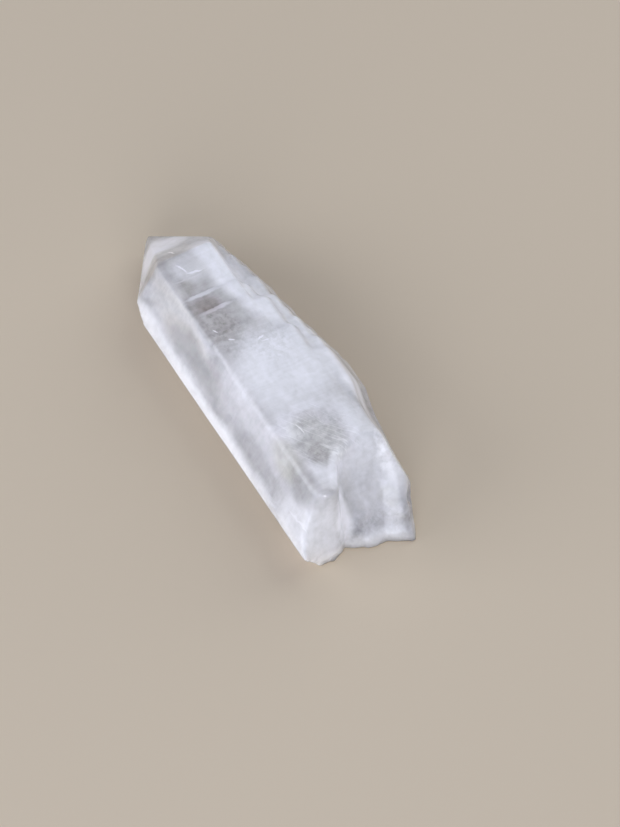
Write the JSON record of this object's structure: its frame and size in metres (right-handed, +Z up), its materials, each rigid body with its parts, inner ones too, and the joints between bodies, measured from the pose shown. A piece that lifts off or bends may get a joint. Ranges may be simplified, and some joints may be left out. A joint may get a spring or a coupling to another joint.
{
  "type": "quartz point",
  "caption": "Clear to milky quartz crystal, a six-sided prism with one pointed end, stepped growth ledges down one side and a rough broken base, lying on a prism face.",
  "frame": {"origin": "on the resting surface, under the middle of the crystal's box", "axes": "+X along the crystal towards its point, +Z up, square to the prism face that it lies on, growth ledges on the -Y side"},
  "size_m": [0.0636, 0.0218, 0.0139],
  "materials": {
    "quartz": "glossy natural crystal faces, milky inside, matt where broken"
  },
  "bodies": {
    "root": {"crystal": "quartz"}
  },
  "joints": []
}
